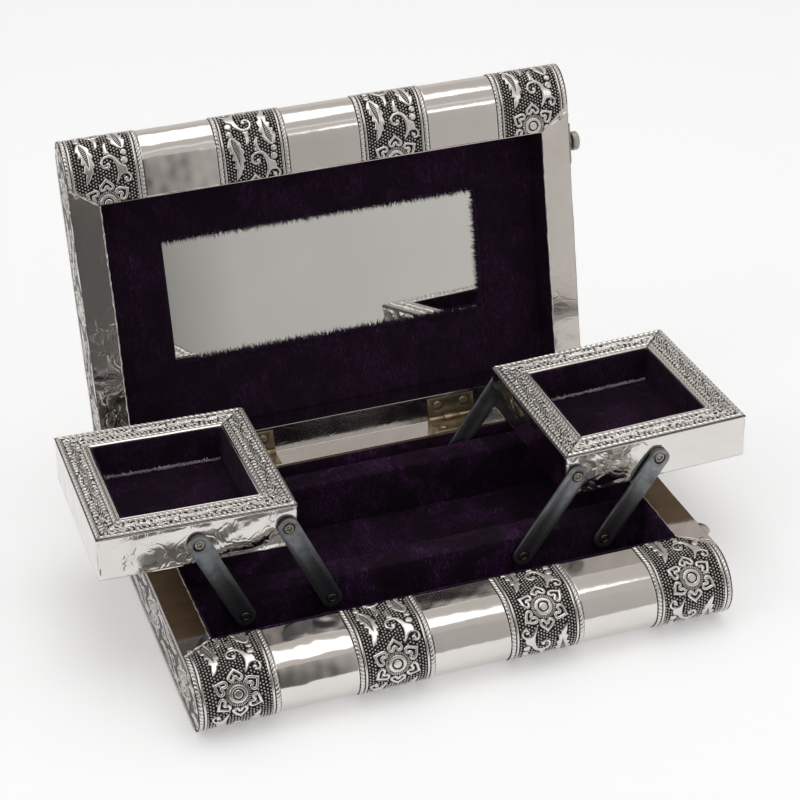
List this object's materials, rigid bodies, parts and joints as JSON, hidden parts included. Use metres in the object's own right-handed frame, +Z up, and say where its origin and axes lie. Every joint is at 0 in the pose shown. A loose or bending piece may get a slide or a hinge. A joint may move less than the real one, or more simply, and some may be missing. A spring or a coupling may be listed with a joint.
{
  "type": "vanity box with mirror and swing-out trays",
  "caption": "Shallow metal-clad vanity box with a half-round front, a matching hinged lid holding a mirror, and velvet-lined trays that swing out on flat steel links.",
  "frame": {"origin": "centre of the case's footprint, on the table", "axes": "+X to the right along the box, +Y to the hinged back, +Z up"},
  "size_m": [0.316, 0.2248, 0.199],
  "materials": {
    "wood": "raw",
    "foil": "polished, lightly hammered",
    "embossed": "embossed and blackened",
    "velvet": "plush",
    "card": "raw",
    "mirror": "silvered",
    "zinc_steel": "zinc plated",
    "antique_brass": "antique",
    "brass": "plain"
  },
  "bodies": {
    "base": {"base_bottom_board": "wood", "base_side_walls": "wood", "base_back_wall": "wood", "base_front_rail": "wood", "base_side_foils": "foil", "base_back_foil": "foil", "base_rim_foil": "foil", "base_embossed_bands": "embossed", "base_plain_bands": "foil", "base_floor_lining": "velvet", "base_wall_linings": "velvet", "front_divider": "wood", "back_divider": "wood", "front_divider_velvet": "velvet", "back_divider_velvet": "velvet", "base_hinge_screws": "antique_brass", "base_pivot_rivets": "antique_brass", "base_rim_nails": "brass", "hinge_base_leaves": "antique_brass", "hinge_pins": "antique_brass", "latch_stud": "zinc_steel"},
    "lid": {"lid_board": "wood", "lid_side_walls": "wood", "lid_back_wall": "wood", "lid_front_rail": "wood", "lid_side_foils": "foil", "lid_back_foil": "foil", "lid_rim_foil": "foil", "lid_embossed_bands": "embossed", "lid_plain_bands": "foil", "lid_top_foil": "foil", "lid_recess_foil": "foil", "lid_velvet_panel": "velvet", "lid_hinge_screws": "antique_brass", "lid_rim_nails": "brass", "mirror_card": "card", "mirror": "mirror", "hinge_lid_leaves": "antique_brass", "latch_plate": "zinc_steel", "latch_pivot": "zinc_steel"},
    "latch": {"latch_hook": "zinc_steel", "latch_knob": "zinc_steel"},
    "left_inner_link_pair": {"left_inner_links": "zinc_steel"},
    "left_outer_link_pair": {"left_outer_links": "zinc_steel"},
    "left_tray": {"left_tray_floor": "wood", "left_tray_walls": "wood", "left_tray_foil": "foil", "left_tray_frame": "embossed", "left_tray_lining": "velvet", "left_tray_rivets": "antique_brass"},
    "right_inner_link_pair": {"right_inner_links": "zinc_steel"},
    "right_outer_link_pair": {"right_outer_links": "zinc_steel"},
    "right_tray": {"right_tray_floor": "wood", "right_tray_walls": "wood", "right_tray_foil": "foil", "right_tray_frame": "embossed", "right_tray_lining": "velvet", "right_tray_rivets": "antique_brass"}
  },
  "joints": [
    {"name": "lid_hinge", "type": "hinge", "parent": "base", "child": "lid", "pos_m": [0, 0.0852, 0.0338], "axis": [1, 0, 0], "range_deg": [0, 27]},
    {"name": "left_tray_swing", "type": "hinge", "parent": "base", "child": "left_inner_link_pair", "pos_m": [-0.04755, -0.0245, 0.0208], "axis": [0, -1, 0], "range_deg": [-87.17, 24.4]},
    {"name": "left_outer_swing", "type": "hinge", "parent": "base", "child": "left_outer_link_pair", "pos_m": [-0.08905, -0.0245, 0.0208], "axis": [0, -1, 0], "range_deg": [-87.22, 24.45]},
    {"name": "left_tray_level", "type": "hinge", "parent": "left_inner_link_pair", "child": "left_tray", "pos_m": [-0.06617, -0.0245, 0.06342], "axis": [0, -1, 0], "range_deg": [-24.95, 89.02]},
    {"name": "right_tray_swing", "type": "hinge", "parent": "base", "child": "right_inner_link_pair", "pos_m": [0.04755, -0.0245, 0.0208], "axis": [0, 1, 0], "range_deg": [-98.57, 13]},
    {"name": "right_outer_swing", "type": "hinge", "parent": "base", "child": "right_outer_link_pair", "pos_m": [0.08905, -0.0245, 0.0208], "axis": [0, 1, 0], "range_deg": [-98.62, 13.05]},
    {"name": "right_tray_level", "type": "hinge", "parent": "right_inner_link_pair", "child": "right_tray", "pos_m": [0.07423, -0.0245, 0.0589], "axis": [0, 1, 0], "range_deg": [-13.29, 100.42]},
    {"name": "latch_turn", "type": "hinge", "parent": "lid", "child": "latch", "pos_m": [0.127, 0.11627, 0.16177], "axis": [1, 0, 0], "range_deg": [0, 62.1]}
  ],
  "couplings": [
    {"joint": "left_outer_swing", "follows": "left_tray_swing", "ratio": 1},
    {"joint": "left_tray_level", "follows": "left_tray_swing", "ratio": -1.0207},
    {"joint": "right_outer_swing", "follows": "right_tray_swing", "ratio": 1},
    {"joint": "right_tray_level", "follows": "right_tray_swing", "ratio": -1.0183}
  ]
}
